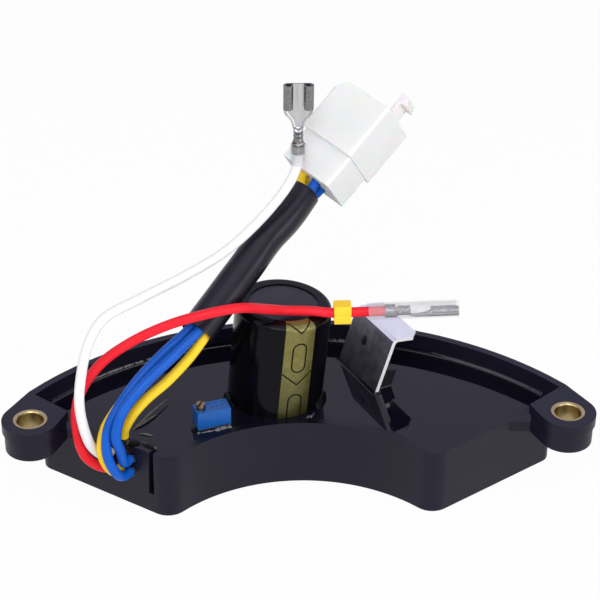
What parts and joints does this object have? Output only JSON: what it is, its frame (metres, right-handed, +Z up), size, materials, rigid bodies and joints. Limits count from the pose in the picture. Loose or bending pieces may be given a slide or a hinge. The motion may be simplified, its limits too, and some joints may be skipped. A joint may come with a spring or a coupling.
{
  "type": "automatic voltage regulator",
  "caption": "Potted half-moon voltage regulator for a portable generator, with bushed fixing ears, a capacitor, a bent heat sink, a trimmer and flying leads to a plug and blade terminals.",
  "frame": {"origin": "centre of the tray's underside, measured over the tray and its ears without the flying leads", "axes": "+X along the line of the fixing holes, +Y from the bay towards the curved rear wall, +Z up out of the potting"},
  "size_m": [0.146, 0.0681, 0.0975],
  "materials": {
    "tray_plastic": "satin",
    "bush_brass": "satin",
    "potting_epoxy": "gloss",
    "board_laminate": "satin",
    "can_aluminium": "satin",
    "capacitor_film": "gloss",
    "capacitor_disc": "satin",
    "bung_rubber": "matte",
    "tinned_lead": "satin",
    "sink_aluminium": "satin",
    "transistor_moulding": "matte",
    "screw_steel": "gloss",
    "trimmer_blue": "satin",
    "trimmer_brass": "satin",
    "diode_moulding": "matte",
    "resistor_ceramic": "matte",
    "film_case": "gloss",
    "resistor_lacquer": "satin",
    "wire_white": "satin",
    "wire_red": "satin",
    "wire_blue": "satin",
    "wire_yellow": "satin",
    "loom_sleeve": "satin",
    "connector_nylon": "satin",
    "contact_brass": "satin",
    "wire_copper": "satin",
    "terminal_tin": "satin",
    "clear_cover": "gloss",
    "marker_yellow": "satin"
  },
  "bodies": {
    "regulator": {"tray": "tray_plastic", "left_bush": "bush_brass", "right_bush": "bush_brass", "potting": "potting_epoxy", "circuit_board": "board_laminate", "capacitor_can": "can_aluminium", "capacitor_sleeve": "capacitor_film", "capacitor_top_disc": "capacitor_disc", "capacitor_bung": "bung_rubber", "capacitor_pins": "tinned_lead", "heat_sink": "sink_aluminium", "transistor_body": "transistor_moulding", "transistor_tab": "tinned_lead", "transistor_screw": "screw_steel", "trimmer_body": "trimmer_blue", "trimmer_pins": "tinned_lead", "rectifier_diodes": "diode_moulding", "diode_leads": "tinned_lead", "power_resistors": "resistor_ceramic", "resistor_leads": "tinned_lead", "film_capacitors": "film_case", "signal_resistors": "resistor_lacquer", "signal_leads": "tinned_lead", "driver_transistors": "transistor_moulding", "driver_leads": "tinned_lead", "white_wire": "wire_white", "red_wire": "wire_red", "blue_wire_1": "wire_blue", "blue_wire_2": "wire_blue", "yellow_wire_1": "wire_yellow", "yellow_wire_2": "wire_yellow", "harness_sleeve": "loom_sleeve", "connector_housing": "connector_nylon", "connector_contacts": "contact_brass", "wire_cores": "wire_copper", "red_terminal": "terminal_tin", "red_terminal_sleeve": "clear_cover", "wire_marker": "marker_yellow", "white_terminal": "terminal_tin", "white_terminal_sleeve": "clear_cover"},
    "adjuster": {"trimmer_screw": "trimmer_brass"}
  },
  "joints": [
    {"name": "trimmer_turn", "type": "hinge", "parent": "regulator", "child": "adjuster", "pos_m": [-0.02445, -0.01346, 0.0217], "axis": [0, 0, 1], "continuous": true}
  ]
}
